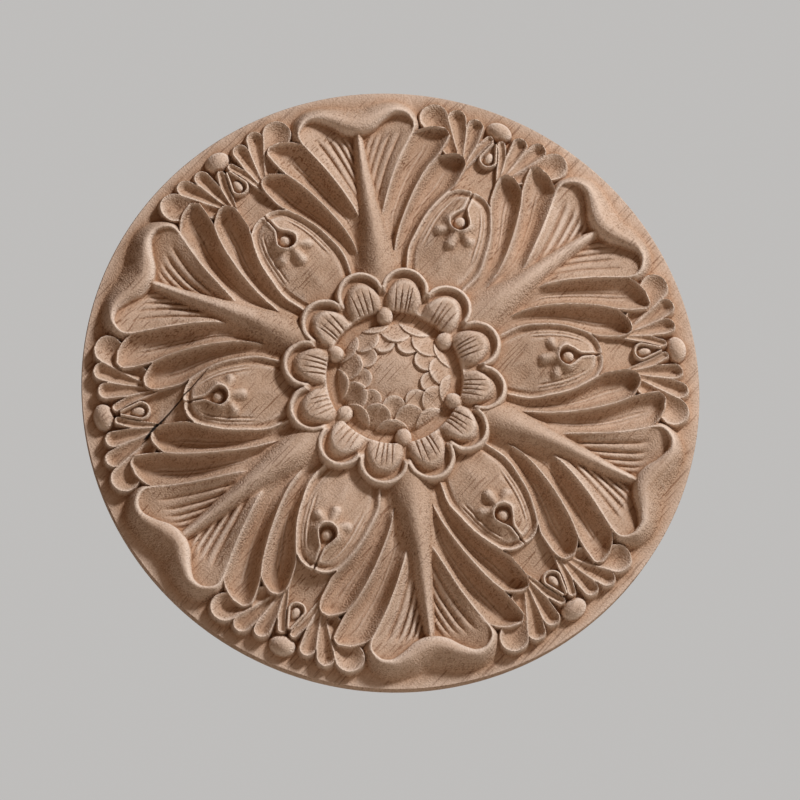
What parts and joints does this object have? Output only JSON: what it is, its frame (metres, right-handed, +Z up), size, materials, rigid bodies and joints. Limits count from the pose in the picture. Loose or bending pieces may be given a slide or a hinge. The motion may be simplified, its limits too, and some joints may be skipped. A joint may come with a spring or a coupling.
{
  "type": "carved wooden rosette",
  "caption": "Round carved wooden rosette: broad ribbed leaves with rolled tips and seed pods round a petalled flower with a scaled boss, flat at the back for fixing to a surface.",
  "frame": {"origin": "centre of the flat back face, which lies on y = 0", "axes": "+Y out of the back, towards the surface it is fixed to, so the carving faces -Y; +Z up along the middle of a large leaf"},
  "size_m": [0.3, 0.026, 0.3],
  "materials": {
    "wood": "bare carved wood, unsealed and matt"
  },
  "bodies": {
    "root": {"carved_rosette": "wood"}
  },
  "joints": []
}
